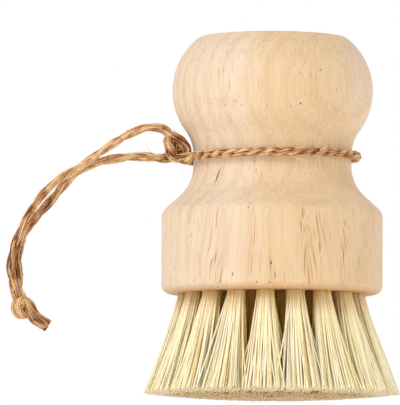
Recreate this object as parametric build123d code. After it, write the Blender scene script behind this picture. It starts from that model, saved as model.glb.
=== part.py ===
from build123d import *
from math import cos, radians, sin, sqrt, tan
import os

# Palm brush: a turned wooden handle, a fan of drilled and stapled bristle tufts, and a jute
# hanging loop tied round the waist. Millimetres, +Z up. The origin is on the standing plane,
# under the middle of the handle.

# Handle, turned about Z. foot_height is the free length of the bristles below its flat foot.
# The drum is as wide as its drilled holes and their walls need, here 52 mm.
foot_height = 24.8
foot_round = 2.0
drum_height = 19.2
shoulder_round = 3.0
shoulder_slope = 42.0
lower_cove_radius = 9.7
neck_inset = 7.4
neck_land = 2.52
upper_cove_radius = 9.7
knob_overhang = 5.0
knob_curve_radius = 15.75
crown_inset = 6.3
crown_rise = 1.0
crown_round = 1.6

# Tufts: one in the centre, and ring k holds k * tufts_per_ring of them, each leaning out by
# k * fan_step degrees
tufts_per_ring = 6
ring_names = ("inner", "middle", "outer")
ring_first_angles = (0.0, 12.0, 5.0)
fan_step = 5.15
hole_diameter = 4.4
hole_depth = 10.0
hole_wall = 2.2
rim_wall = 4.0
tuft_fit = 0.05
root_sides = 12

# Strands of a tuft, as circles of (count, share of the tuft's radius, first angle in degrees)
strand_radius = 0.46
strand_sides = 3
strand_root_overlap = 1.0
root_margin_share = 1.3
tuft_tip_gap = 0.26
strand_circle_shares = ((1, 0.0, 0.0), (4, 0.52, 20.0), (7, 1.0, 0.0))

# The trimmed face is a shallow bowl that rises to its rim, with its lowest part cut flat
trim_rise = 1.9
trim_flat = 0.5
trim_ragged = 0.7
trim_ragged_step_share = 0.618

# Staples: flat wire bent to a U over the fold at the root of each tuft
staple_width = 3.0
staple_wire_width = 0.9
staple_wire_thickness = 0.5
staple_bite = 3.0
fold_thickness = 1.2

# Hanging loop: one piece of twine, tied round the neck. Angles run round Z from +X.
twine_diameter = 2.0
twine_sides = 6
twine_gap = 0.3
turn_drop = 0.6
turn_tilt = 0.9
turn_front_angle = 200.0
turn_back_angle = 168.0
neck_knot_centre = (-22.7, -0.4, 59.6)
neck_knot_width = 6.9
neck_knot_height = 8.4
neck_knot_twist = 28.0
end_knot_centre = (-58.4, 0.0, 21.3)
end_knot_width = 5.8
end_knot_height = 6.4
end_knot_twist = 40.0
stub_share = 0.7
arc_share = 0.45

# Routes of the free twine, from knot to knot and out of the last one
upper_leg_route = [
    (-25.6, -1.2, 63.6), (-28.6, -1.3, 64.1), (-31.9, -1.4, 63.2), (-35.8, -1.4, 61.2),
    (-40.2, -1.3, 58.2), (-44.6, -1.2, 54.8), (-49.2, -1.4, 52.3), (-53.3, -1.8, 49.0),
    (-56.6, -2.0, 44.4), (-59.2, -1.8, 39.4), (-61.2, -1.5, 34.2), (-61.6, -1.3, 29.4),
    (-60.4, -1.2, 25.0),
]
lower_leg_route = [
    (-25.8, 0.6, 56.7), (-29.6, 1.0, 57.2), (-33.9, 1.3, 57.1), (-38.6, 1.2, 56.5),
    (-43.4, 1.2, 55.1), (-47.6, 1.4, 52.4), (-51.0, 1.8, 48.1), (-54.6, 2.0, 43.9),
    (-57.9, 1.7, 40.4), (-59.7, 1.4, 35.9), (-60.0, 1.3, 30.7), (-59.5, 1.2, 25.2),
]
tail_routes = [
    [(-55.2, -0.7, 20.1), (-53.7, -1.0, 19.1), (-52.1, -0.9, 17.8)],
    [(-56.4, 0.6, 18.3), (-55.0, 0.8, 17.3), (-53.4, 0.5, 16.1)],
]

# One overrun serves every cut
overrun = 1.0

ring_pitch = hole_diameter + hole_wall
drum_radius = len(ring_names) * ring_pitch + hole_diameter / 2 + rim_wall
neck_radius = drum_radius - neck_inset
knob_radius = neck_radius + knob_overhang
shoulder_height = foot_height + drum_height
# The shoulder slopes up from the drum and would meet the neck here without its cove
cove_corner_height = shoulder_height + neck_inset * tan(radians(shoulder_slope))
neck_foot_height = cove_corner_height + lower_cove_radius * tan(radians(90 - shoulder_slope) / 2)
neck_top_height = neck_foot_height + neck_land
turn_height = neck_top_height - turn_drop
twine_radius = twine_diameter / 2
tip_pitch = ring_pitch + foot_height * tan(radians(fan_step))
root_circle_radius = hole_diameter / 2 - tuft_fit - root_margin_share * strand_radius
tip_circle_radius = (tip_pitch - tuft_tip_gap) / 2 - strand_radius
flare_radius = (
    len(ring_names) * ring_pitch
    + foot_height * tan(radians(len(ring_names) * fan_step))
    + tip_circle_radius
)


def handle_blank():
    """The turned handle before drilling: drum, shoulder, cove, neck, knob and crown."""
    # The upper cove leaves the neck upright and runs into the knob's curve without a break
    curve_radii = upper_cove_radius + knob_curve_radius
    cove_share = upper_cove_radius / curve_radii
    rise = sqrt(knob_overhang * (2 * curve_radii - knob_overhang))
    meeting = (neck_radius + knob_overhang * cove_share, neck_top_height + rise * cove_share)
    crown_radius = knob_radius - crown_inset
    crown_edge_height = (
        neck_top_height
        + rise
        + sqrt(knob_curve_radius**2 - (knob_curve_radius - crown_inset) ** 2)
    )
    lower = FilletPolyline(
        (0, foot_height),
        (drum_radius, foot_height),
        (drum_radius, shoulder_height),
        (neck_radius, cove_corner_height),
        (neck_radius, neck_top_height),
        radius=[foot_round, shoulder_round, lower_cove_radius],
    )
    cove = TangentArc((neck_radius, neck_top_height), meeting, tangent=(0, 1))
    knob = TangentArc(meeting, (crown_radius, crown_edge_height), tangent=cove % 1)
    crown_top = (0, crown_edge_height + crown_rise)
    crown = TangentArc(crown_top, (crown_radius, crown_edge_height), tangent=(1, 0))
    axis = Line(crown_top, (0, foot_height))
    profile = make_face(Curve() + [lower, cove, knob, crown, axis])
    edge = profile.vertices().sort_by_distance((crown_radius, crown_edge_height))[0]
    profile = fillet(edge, crown_round)
    return revolve(Plane.XZ * profile, Axis.Z)


def hole_location(ring):
    """Mouth of a ring's hole in the XZ plane, with its Z up into the wood."""
    return Location((ring * ring_pitch, 0, foot_height), (0, -ring * fan_step, 0))


def bar(ring, section):
    """The section, drawn from below a hole's mouth to the hole's bottom."""
    return hole_location(ring) * Pos(0, 0, -overrun) * extrude(section, hole_depth + overrun)


def hole(ring):
    return bar(ring, Circle(hole_diameter / 2))


def staple(ring):
    """Flat wire U: the crown lies in the fold and the legs run on into the wood."""
    crown_height = hole_depth - fold_thickness - staple_wire_thickness
    leg_height = hole_depth + staple_bite - crown_height
    inside_width = staple_width - 2 * staple_wire_thickness
    bottom = (Align.CENTER, Align.MIN)
    outline = Rectangle(staple_width, leg_height, align=bottom) - Pos(
        0, staple_wire_thickness
    ) * Rectangle(inside_width, leg_height, align=bottom)
    wire = extrude(Plane.YZ * outline, staple_wire_width / 2, both=True)
    return hole_location(ring) * Pos(0, 0, crown_height) * wire


def strand_point(ring, share, angle, height):
    """Where a strand's middle line passes the given height. Strands spread from each other."""
    drop = foot_height - height
    spread = (tip_circle_radius - root_circle_radius) * drop / foot_height
    reach = share * (root_circle_radius + spread)
    middle = ring * ring_pitch + drop * tan(radians(ring * fan_step))
    return Vector(middle + reach * cos(radians(angle)), reach * sin(radians(angle)), height)


def strand(ring, number, share, angle):
    """One three-sided strand, cut level where it meets the trimmed face."""
    at_floor = strand_point(ring, share, angle, 0)
    ragged = trim_ragged * ((number * trim_ragged_step_share) % 1)
    trimmed = trim_rise * (Vector(at_floor.X, at_floor.Y).length / flare_radius) ** 2
    tip = strand_point(ring, share, angle, max(0, trimmed + ragged - trim_flat))
    root = strand_point(ring, share, angle, foot_height + strand_root_overlap)
    section = Pos(root) * RegularPolygon(strand_radius, strand_sides, rotation=angle)
    return extrude(section, (tip - root).length, dir=(tip - root).normalized())


def tuft(ring):
    """Packed root in its hole, slotted for the staple, with its strands fanning out below."""
    root = bar(ring, RegularPolygon(hole_diameter / 2 - tuft_fit, root_sides))
    root = split(root, Plane.XY.offset(foot_height), keep=Keep.TOP)
    strands = []
    for count, share, first_angle in strand_circle_shares:
        for index in range(count):
            angle = first_angle + index * 360 / count
            strands.append(strand(ring, ring + len(strands), share, angle))
    return root.fuse(*strands).cut(staple(ring))


def tube_path(name, route):
    """Straight runs joined by arcs, each as large as its two runs allow."""
    points = [Vector(*point) for point in route]
    runs = [b - a for a, b in zip(points, points[1:])]
    radii = [
        arc_share * min(a.length, b.length) / tan(radians(a.get_angle(b) / 2))
        for a, b in zip(runs, runs[1:])
    ]
    print(name, "arc radii", [round(radius, 1) for radius in radii])
    return FilletPolyline(*points, radius=radii)


def twine_section(origin, direction):
    """The twine's outline, a many-sided figure whose corners lie on its diameter."""
    return Plane(origin=origin, z_dir=direction) * RegularPolygon(twine_radius, twine_sides)


def tube(name, route):
    path = tube_path(name, route)
    section = twine_section(path @ 0, path % 0)
    solid = sweep(section, path)
    expected = path.length * section.area
    print(name, "length", round(path.length, 2), "volume share", round(solid.volume / expected, 4))
    return solid


def turn_plane():
    return Plane(Location((0, 0, turn_height), (0, -turn_tilt, 0)))


def turn_path():
    """The turn's middle line, from the knot's front round to its back."""
    arc = turn_back_angle + 360 - turn_front_angle
    radius = neck_radius + twine_gap + twine_radius
    return turn_plane() * CenterArc((0, 0), radius, turn_front_angle, arc)


def neck_turn():
    path = turn_path()
    return sweep(twine_section(path @ 0, path % 0), path)


def stub(end, direction, centre):
    """Twine that leaves the knot, with a flat end where the next stretch starts."""
    reach = stub_share * (Vector(*centre) - end).length
    return extrude(twine_section(end, direction), reach)


def knot(centre, width, height, twist, ends):
    """Two crossed wraps of twine, with a stub for each end that comes out."""
    wrap_radius = width / 2 - twine_radius
    lift = (height - width) / 2
    wrap = revolve(twine_section((wrap_radius, 0, 0), (0, 1, 0)), Axis.Z)
    wraps = [
        Pos(*centre) * Pos(0, 0, side * lift) * Rot(0, 0, side * twist) * Rot(90, 0, 0) * wrap
        for side in (1, -1)
    ]
    stubs = [stub(end, direction, centre) for end, direction in ends]
    return wraps[0].fuse(wraps[1], *stubs)


def route_end(route, at_start):
    """An end of a route and the direction from there back into the knot."""
    points = [Vector(*point) for point in (route if at_start else route[::-1])]
    return points[0], (points[0] - points[1]).normalized()


def neck_knot():
    turn = turn_path()
    ends = [
        (turn @ 0, (turn % 0) * -1),
        (turn @ 1, turn % 1),
        route_end(upper_leg_route, True),
        route_end(lower_leg_route, True),
    ]
    return knot(neck_knot_centre, neck_knot_width, neck_knot_height, neck_knot_twist, ends)


def end_knot():
    ends = [route_end(upper_leg_route, False), route_end(lower_leg_route, False)]
    ends += [route_end(route, True) for route in tail_routes]
    return knot(end_knot_centre, end_knot_width, end_knot_height, end_knot_twist, ends)


def ring_angles(ring):
    count = ring * tufts_per_ring
    return [ring_first_angles[ring - 1] + index * 360 / count for index in range(count)]


def around(shape, angle):
    return Rot(0, 0, angle) * shape


rings = range(1, len(ring_names) + 1)
staples = [staple(0)] + [around(staple(ring), a) for ring in rings for a in ring_angles(ring)]
holes = [hole(0)] + [around(hole(ring), a) for ring in rings for a in ring_angles(ring)]

nodes = {
    "handle": handle_blank().cut(*holes, *staples),
    "staples": Compound(children=[Solid(piece.solid().wrapped) for piece in staples]),
    "tuft_centre": tuft(0),
}
for ring, ring_name in zip(rings, ring_names):
    ring_tuft = tuft(ring)
    for index, angle in enumerate(ring_angles(ring), start=1):
        nodes[f"tuft_{ring_name}_{index:02d}"] = around(ring_tuft, angle)
nodes["neck_turn"] = neck_turn()
nodes["neck_knot"] = neck_knot()
nodes["loop_upper_leg"] = tube("loop_upper_leg", upper_leg_route)
nodes["loop_lower_leg"] = tube("loop_lower_leg", lower_leg_route)
nodes["end_knot"] = end_knot()
nodes["cord_tails"] = Compound(children=[tube("cord_tail", route) for route in tail_routes])

os.makedirs("parts", exist_ok=True)
for name, shape in nodes.items():
    export_step(shape, f"parts/{name}.step")
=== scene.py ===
"""The palm brush's wood, bristles and twine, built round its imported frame, with a studio stage."""
import math

import bpy
import numpy as np
from bpy.props import FloatProperty, FloatVectorProperty, IntProperty, PointerProperty
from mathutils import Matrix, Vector


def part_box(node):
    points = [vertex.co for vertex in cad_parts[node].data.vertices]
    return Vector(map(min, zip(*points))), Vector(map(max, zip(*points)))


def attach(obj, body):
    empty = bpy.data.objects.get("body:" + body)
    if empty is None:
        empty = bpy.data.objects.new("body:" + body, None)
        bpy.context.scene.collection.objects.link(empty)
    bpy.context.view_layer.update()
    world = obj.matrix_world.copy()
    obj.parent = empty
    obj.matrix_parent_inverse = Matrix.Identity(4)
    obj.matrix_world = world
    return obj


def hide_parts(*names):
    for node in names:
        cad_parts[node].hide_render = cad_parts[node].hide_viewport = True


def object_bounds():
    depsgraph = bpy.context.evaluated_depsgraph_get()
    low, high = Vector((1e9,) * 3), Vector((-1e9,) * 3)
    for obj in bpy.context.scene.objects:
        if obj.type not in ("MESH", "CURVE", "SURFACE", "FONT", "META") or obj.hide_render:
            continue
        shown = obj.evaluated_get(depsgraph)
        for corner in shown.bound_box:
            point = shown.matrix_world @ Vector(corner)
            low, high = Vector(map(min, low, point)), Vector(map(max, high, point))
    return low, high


bl_info = {
    "name": "Palm Brush",
    "version": (1, 0, 0),
    "blender": (4, 5, 0),
    "location": "View3D > Sidebar > Palm Brush",
    "description": "Gives the palm brush its turned beech, cut fibre tufts, jute loop and stage",
    "category": "Object",
}

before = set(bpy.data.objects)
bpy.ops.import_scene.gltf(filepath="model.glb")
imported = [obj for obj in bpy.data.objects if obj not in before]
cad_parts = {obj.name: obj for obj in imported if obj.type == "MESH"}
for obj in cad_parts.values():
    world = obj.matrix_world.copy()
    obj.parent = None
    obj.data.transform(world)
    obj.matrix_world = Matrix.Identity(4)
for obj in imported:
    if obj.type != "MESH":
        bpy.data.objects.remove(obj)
cad_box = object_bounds()

MM = 0.001

# Sizes that the frame gives
FOOT_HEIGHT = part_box("handle")[0].z
BRISTLE_RADIUS = cad_box[1].x
TURN_LOW, TURN_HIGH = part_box("neck_turn")
TURN_HEIGHT = (TURN_LOW.z + TURN_HIGH.z) / 2
TUFT_NODES = sorted(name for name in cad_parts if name.startswith("tuft_"))


def in_metres(lengths):
    """Lengths in millimetres, in lists of any depth, as the same tuples in metres. They are
    rounded to a thousandth of a millimetre."""
    if isinstance(lengths, float):
        return round(lengths * MM, 6)
    return tuple(in_metres(length) for length in lengths)


# The twine's free routes from knot to knot, as control points of smooth splines
UPPER_LEG_ROUTE = in_metres([
    (-25.6, -1.2, 63.6), (-28.6, -1.3, 64.1), (-31.9, -1.4, 63.2), (-35.8, -1.4, 61.2),
    (-40.2, -1.3, 58.2), (-44.6, -1.2, 54.8), (-49.2, -1.4, 52.3), (-53.3, -1.8, 49.0),
    (-56.6, -2.0, 44.4), (-59.2, -1.8, 39.4), (-61.2, -1.5, 34.2), (-61.6, -1.3, 29.4),
    (-60.4, -1.2, 25.0),
])
LOWER_LEG_ROUTE = in_metres([
    (-25.8, 0.6, 56.7), (-29.6, 1.0, 57.2), (-33.9, 1.3, 57.1), (-38.6, 1.2, 56.5),
    (-43.4, 1.2, 55.1), (-47.6, 1.4, 52.4), (-51.0, 1.8, 48.1), (-54.6, 2.0, 43.9),
    (-57.9, 1.7, 40.4), (-59.7, 1.4, 35.9), (-60.0, 1.3, 30.7), (-59.5, 1.2, 25.2),
])
TAIL_ROUTES = in_metres([
    [(-55.5, -0.5, 19.7), (-54.0, -0.6, 18.6), (-52.3, -0.5, 17.4)],
    [(-56.1, 0.4, 18.8), (-54.6, 0.5, 17.7), (-52.9, 0.4, 16.5)],
])
# Through the neck knot. The two legs are one bight of the twine, whose closed end lies against
# the waist. The turn's front end comes up in front of both legs and goes back between them.
LEGS_KNOT_ROUTE = in_metres([
    (-24.6, -1.6, 62.5), (-23.4, -2.3, 61.7), (-22.3, -2.9, 60.9), (-21.2, -3.4, 60.0),
    (-20.2, -4.0, 59.0), (-19.8, -4.3, 58.1), (-20.4, -3.9, 57.5), (-21.4, -2.6, 57.5),
    (-22.6, -1.0, 57.4), (-24.0, 0.1, 57.1),
])
TURN_FRONT_ROUTE = in_metres([
    (-19.4, -6.0, 56.3), (-20.7, -5.1, 56.1), (-22.2, -4.4, 56.3), (-23.4, -4.1, 57.1),
    (-24.1, -3.8, 58.4), (-24.4, -3.3, 59.8), (-24.2, -2.3, 61.0), (-23.7, -1.0, 61.4),
    (-23.2, 0.2, 60.7), (-22.8, 0.9, 59.6), (-22.0, 1.5, 58.6),
])
TURN_BACK_ROUTE = in_metres([(-20.4, 2.9, 57.5), (-22.0, 1.5, 58.6)])
# Through the end knot, from each leg to its tail: the two strands go side by side, about the
# knot's middle
END_KNOT_MIDDLE = in_metres((-58.4, 0.0, 21.3))
END_KNOT_ROUTES = in_metres([
    [
        (-1.7, 0.5, 2.7), (-1.3, 1.2, 1.4), (-0.9, 1.5, -0.1), (-0.6, 1.2, -1.4),
        (-1.1, 0.1, -1.9), (-1.8, -0.9, -1.1), (-2.0, -1.3, 0.2), (-1.6, -0.7, 1.5),
        (-0.3, 0.5, 2.0), (1.3, 0.2, 1.4), (1.9, -0.4, 0.2), (2.2, -0.4, -0.6),
    ],
    [
        (-0.5, 0.5, 3.1), (-0.1, 1.4, 1.8), (0.3, 1.7, 0.1), (0.6, 1.0, -1.4),
        (-0.1, -0.5, -2.1), (-0.8, -1.7, -1.3), (-1.0, -2.1, 0.2), (-0.6, -1.5, 1.5),
        (0.1, -0.7, 2.0), (0.9, -1.0, 1.4), (1.3, -1.4, 0.2), (1.4, -0.8, -1.4),
    ],
])
# Long hairs that stand out of the turn and the neck knot
LONG_HAIR_ROUTES = in_metres([
    [(10.0, -18.0, 57.5), (11.5, -19.6, 61.0), (13.8, -20.0, 64.5), (16.4, -19.0, 67.8)],
    [(13.8, -15.8, 57.8), (14.6, -16.8, 59.6), (15.1, -17.2, 61.2)],
    [(15.0, -14.8, 57.0), (11.8, -18.0, 57.8), (9.6, -18.8, 56.0)],
    [(-22.6, -4.4, 59.6), (-22.6, -5.2, 57.8), (-22.4, -5.0, 55.6)],
    [(-18.6, -7.2, 56.6), (-17.2, -9.6, 54.2), (-15.0, -12.8, 52.5), (-13.0, -14.8, 51.5)],
    [(-6.0, -20.5, 57.5), (-4.0, -21.2, 59.0), (-1.2, -21.0, 58.5)],
    [(4.0, -20.5, 56.0), (6.2, -20.8, 54.5), (8.5, -19.6, 54.8)],
])


def linear(hex_colour):
    """An sRGB hex colour as the linear red, green and blue that shaders take."""
    values = [int(hex_colour[i : i + 2], 16) / 255 for i in (1, 3, 5)]
    return tuple(v / 12.92 if v <= 0.04045 else ((v + 0.055) / 1.055) ** 2.4 for v in values)


def opaque(colour):
    """A colour with an alpha of one."""
    return (*colour, 1.0)


def add_node(tree, kind, inputs=(), stops=(), out=0, **settings):
    """Adds one node with its settings, its ramp's stops and its socket values or links, and
    gives one of its outputs. Inputs go by their socket, or in order from the first."""
    node = tree.nodes.new(kind)
    for name, value in settings.items():
        setattr(node, name, value)
    by_socket = inputs if isinstance(inputs, dict) else dict(enumerate(inputs))
    for socket, value in by_socket.items():
        if isinstance(value, bpy.types.NodeSocket):
            tree.links.new(value, node.inputs[socket])
        else:
            node.inputs[socket].default_value = value
    for index, (place, colour) in enumerate(stops):
        ramp = node.color_ramp.elements
        stop = ramp[index] if index < 2 else ramp.new(place)
        stop.position = place
        stop.color = opaque(colour)
    return node.outputs[out] if node.outputs else None


def new_material(name):
    """An empty node material and its tree."""
    material = bpy.data.materials.new(name)
    material.use_nodes = True
    material.node_tree.nodes.clear()
    return material, material.node_tree


def place_in_mm(tree):
    """Each place on the object, in millimetres."""
    place = add_node(tree, "ShaderNodeTexCoord", out="Object")
    return add_node(
        tree, "ShaderNodeVectorMath", (place, (1 / MM, 1 / MM, 1 / MM)), operation="MULTIPLY"
    )


def drawn_pattern(tree, place, pattern, out=0):
    """A soft uneven pattern, drawn out along one way. A pattern is how many of its waves lie in
    a millimetre along x, y and z, its finer detail, and how strong that is."""
    waves, detail, rough = pattern
    drawn = add_node(tree, "ShaderNodeVectorMath", (place, waves), operation="MULTIPLY")
    return add_node(
        tree, "ShaderNodeTexNoise",
        {"Vector": drawn, "Scale": 1.0, "Detail": detail, "Roughness": rough}, out=out,
    )


def lens_distance(tree, place, middle, half_sizes, lean=0.0):
    """How far each place lies from a lens's middle, where 1 is its edge."""
    lens = add_node(
        tree, "ShaderNodeMapping", (place, middle, (0.0, lean, 0.0), half_sizes),
        vector_type="TEXTURE",
    )
    return add_node(tree, "ShaderNodeVectorMath", [lens], out=1, operation="LENGTH")


def place_mesh(name, parts, body, material):
    """A new piece from gathered parts, riding on its body, with its points' named values."""
    mesh = bpy.data.meshes.new(name)
    mesh.from_pydata(parts.vertices, [], parts.faces)
    for key, numbers in parts.values.items():
        layer = mesh.attributes.new(key, "FLOAT", "POINT")
        layer.data.foreach_set("value", np.asarray(numbers, np.float32))
    mesh.polygons.foreach_set("use_smooth", [True] * len(mesh.polygons))
    mesh.materials.append(material)
    piece = bpy.data.objects.new(name, mesh)
    bpy.context.scene.collection.objects.link(piece)
    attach(piece, body)
    return piece


def tube(middles, out, side, radius, sides):
    """Rings of points round a line, an array of ring, side and xyz."""
    angle = np.arange(sides) * 2 * math.pi / sides
    reach = np.broadcast_to(np.asarray(radius, float), len(middles))[:, None, None]
    shape = out[:, None] * np.cos(angle)[:, None] + side[:, None] * np.sin(angle)[:, None]
    return middles[:, None] + shape * reach


def tube_faces(rings, sides, first):
    """Faces of a closed tube whose points start at a number."""
    faces = []
    for ring in range(rings - 1):
        low = first + ring * sides
        for i in range(sides):
            after = (i + 1) % sides
            faces.append((low + i, low + after, low + sides + after, low + sides + i))
    end = first + (rings - 1) * sides
    faces.append(tuple(range(first + sides - 1, first - 1, -1)))
    faces.append(tuple(range(end, end + sides)))
    return faces


class MeshParts:
    """Gathers tubes into one mesh's vertices, faces and named values."""

    def __init__(self):
        self.vertices, self.faces, self.values = [], [], {}

    def add(self, rings, **values):
        count, sides = rings.shape[:2]
        self.faces += tube_faces(count, sides, len(self.vertices))
        self.vertices += rings.reshape(-1, 3).tolist()
        for key, numbers in values.items():
            whole = np.broadcast_to(np.asarray(numbers, float), (count, sides))
            self.values.setdefault(key, []).extend(whole.reshape(-1).tolist())


# The turned handle

# Dark marks on the front, in millimetres: the middle's x and z, the mark's length and width, and its
# lean from upright in degrees
WOOD_MARKS = [
    (-12.9, 51.6, 3.8, 0.34, 19.0),
    (10.8, 34.6, 2.6, 0.24, -3.0),
    (-0.5, 30.6, 1.0, 0.42, 8.0),
    (0.4, 27.8, 2.0, 0.22, 0.0),
    (7.3, 31.4, 7.0, 0.16, 1.0),
    (6.4, 38.9, 4.6, 0.14, -6.0),
    (6.2, 67.9, 0.5, 0.45, 0.0),
    (10.8, 75.9, 0.6, 0.3, 0.0),
    (-9.4, 28.0, 0.9, 0.3, 5.0),
    (-5.8, 43.5, 0.4, 0.35, 0.0),
    (-3.8, 26.2, 0.4, 0.4, 0.0),
    (-0.8, 26.1, 0.4, 0.35, 0.0),
]
# The marks run straight back through the handle from the front, by this many millimetres
MARK_DEPTH = 40.0
# Where fine dark streaks keep together in the drum's front: the middle's x and the half width
STREAK_BANDS = [(-13.2, 3.0), (-4.6, 1.4), (8.6, 3.6), (16.5, 1.4)]
# The share of a band's half width over which its streaks are strongest
STREAK_CORE = 1 / 3
# The heights between which these streaks fade out, in millimetres
STREAK_FADE = (42.0, 45.5)
# How much more strongly the streaks show in these bands
FRONT_STREAKS = 0.6
# Painted shade: the wood is a little darker and warmer over this much height above the foot's edge,
# in millimetres, and by this share of the rings' colour
FOOT_SHADE_HEIGHT = 1.5
FOOT_SHADE_SHARE = 0.7
# Where the heart of the trunk lies from the handle's axis, in millimetres, and how much of a
# height counts as distance from it, which makes the rings lean
HEART = (-52.0, 66.0)
HEART_LEAN = 0.02
# How dark a ring is from its early wood to its late edge: places and greys, the ends first
RING_TONES = ((0.0, 0.3), (1.0, 0.3), (0.45, 0.0), (0.88, 1.0))
# The grain runs together towards the knob: the height where its spread is measured, and the
# height above it at which it would lie twice as close, in millimetres
SPREAD_HEIGHT = 35.0
SPREAD_REACH = 105.0
# The warmer wood is a board a little right of the middle, in millimetres: its middle and the
# half widths of its core and of its soft edge
WARM_MIDDLE = 9.0
WARM_HALF_WIDTH = (8.0, 22.0)
# How far the grain wanders sideways, in millimetres
WOBBLE_REACH = 7.0
# Two kinds of vessel: across and along the grain, the cell that holds one in millimetres, the
# shares of it that the vessel's dark and its edge take, and from where to where a vessel's
# chance makes it show, from not at all to how strongly
VESSELS = (
    (0.6, 20.0, (0.08, 0.24), (0.55, 0.88, 0.0, 0.8)),
    (0.45, 8.0, (0.08, 0.26), (0.62, 1.0, 0.0, 0.24)),
)
# How much of a vessel's chance is its own. The rest is its neighbourhood's
VESSEL_CHANCE = 0.45
# The wood's patterns, which drawn_pattern takes
RING_STRENGTH = ((0.06, 0.06, 0.06), 2.0, 0.5)
GRAIN_WOBBLE = ((0.05, 0.05, 0.0225), 2.0, 0.5)
FIBRE_LINES = ((1.1, 1.1, 0.033), 3.0, 0.7)
VESSEL_CLUSTERS = ((0.22, 0.22, 0.033), 3.0, 0.5)
FINE_STREAKS = ((2.6, 2.6, 0.0572), 1.0, 0.5)
LATHE_CIRCLES = ((0.044, 0.044, 2.2), 2.0, 0.5)
# From where to where a pattern's value, or the distance from a mark, makes its part of the
# wood show, and how strongly it does at each end
RINGS_SHOWN = (0.35, 0.7, 0.08, 0.36)
LINES_SHOWN = (0.46, 0.76, 0.0, 0.38)
STREAKS_SHOWN = (0.56, 0.68, 0.0, 1.0)
CLUSTERS_SHOWN = (0.48, 0.66, 0.0, 0.24)
MARKS_SHOWN = (0.5, 1.3, 0.88, 0.0)
# The roughness that the fibre lines give in the same way
LINES_ROUGHNESS = (0.3, 0.7, 0.52, 0.64)
# How high the fibre lines stand, and how far vessels, marks and the lathe's circles stand out
# as shares of that
LINE_HEIGHT = 0.08 * MM
VESSEL_RELIEF = -1.0
MARK_RELIEF = -1.5
CIRCLE_RELIEF = 1.2


class PalmBrushWood(bpy.types.PropertyGroup):
    """Colours and grain of the handle."""

    pale: FloatVectorProperty(
        name="Pale wood", description="Colour of the outer wood", subtype="COLOR",
        default=linear("#EAD7C0"),
    )
    warm: FloatVectorProperty(
        name="Warm wood", description="Colour of the inner wood", subtype="COLOR",
        default=linear("#E5CBA5"),
    )
    ring: FloatVectorProperty(
        name="Growth ring", description="Colour at the edge of a growth ring",
        subtype="COLOR", default=linear("#CFA06A"),
    )
    vessel: FloatVectorProperty(
        name="Vessel", description="Colour of the vessel lines", subtype="COLOR",
        default=linear("#B06C36"),
    )
    mark: FloatVectorProperty(
        name="Mark", description="Colour of the few dark marks", subtype="COLOR",
        default=linear("#5A2E16"),
    )
    ring_width: FloatProperty(
        name="Ring width", description="Distance between two growth rings", unit="LENGTH",
        default=4.2 * MM,
    )


def growth_rings(tree, grain, wood):
    """How much each place shows the dark late wood of its ring, about the trunk's heart."""
    heart_x, heart_y = HEART
    about_heart = add_node(
        tree, "ShaderNodeVectorMath", (grain, (-heart_x, -heart_y, 0.0)), operation="ADD"
    )
    level = add_node(
        tree, "ShaderNodeVectorMath", (about_heart, (1.0, 1.0, HEART_LEAN)),
        operation="MULTIPLY",
    )
    radius = add_node(tree, "ShaderNodeVectorMath", [level], out=1, operation="LENGTH")
    turns = add_node(
        tree, "ShaderNodeMath", (radius, MM / wood.ring_width), operation="MULTIPLY"
    )
    phase = add_node(tree, "ShaderNodeMath", [turns], operation="FRACT")
    late = add_node(
        tree, "ShaderNodeValToRGB", [phase],
        stops=[(place, (grey, grey, grey)) for place, grey in RING_TONES],
    )
    strength = drawn_pattern(tree, grain, RING_STRENGTH)
    share = add_node(tree, "ShaderNodeMapRange", (strength, *RINGS_SHOWN))
    return add_node(tree, "ShaderNodeMath", (late, share), operation="MULTIPLY")


def vessel_lines(tree, grain, clusters, kind):
    """How dark one kind of vessel is: a short line in the middle of each long cell. Some are
    empty and hardly show, and others are filled with darker gum."""
    across, along, (dark, edge), shown_range = kind
    cells = add_node(
        tree, "ShaderNodeVectorMath", (grain, (1 / across, 1 / across, 1 / along)),
        operation="MULTIPLY",
    )
    away = add_node(tree, "ShaderNodeTexVoronoi", {"Vector": cells, "Scale": 1.0})
    line = add_node(tree, "ShaderNodeMapRange", (away, dark, edge, 1.0, 0.0))
    chance = add_node(tree, "ShaderNodeSeparateColor", [away.node.outputs["Color"]])
    filled = add_node(
        tree, "ShaderNodeMath", (chance, VESSEL_CHANCE, clusters), operation="MULTIPLY_ADD"
    )
    shown = add_node(tree, "ShaderNodeMapRange", (filled, *shown_range))
    return add_node(tree, "ShaderNodeMath", (line, shown), operation="MULTIPLY")


def front_marks(tree, in_mm):
    """How dark the few marks in the front are, each a slim lens."""
    nearest = MARKS_SHOWN[1]
    for x, z, length, width, lean in WOOD_MARKS:
        away = lens_distance(
            tree, in_mm, (x, -MARK_DEPTH / 2, z), (width / 2, MARK_DEPTH / 2, length / 2),
            math.radians(lean),
        )
        nearest = add_node(tree, "ShaderNodeMath", (away, nearest), operation="MINIMUM")
    return add_node(tree, "ShaderNodeMapRange", (nearest, *MARKS_SHOWN))


def upright_band(tree, across, middle, core, edge):
    """How much each place lies in an upright band, from its core's half width to its edge's."""
    off_middle = add_node(tree, "ShaderNodeMath", (across, middle), operation="SUBTRACT")
    away = add_node(tree, "ShaderNodeMath", [off_middle], operation="ABSOLUTE")
    return add_node(
        tree, "ShaderNodeMapRange", (away, core, edge, 1.0, 0.0),
        interpolation_type="SMOOTHSTEP",
    )


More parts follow.
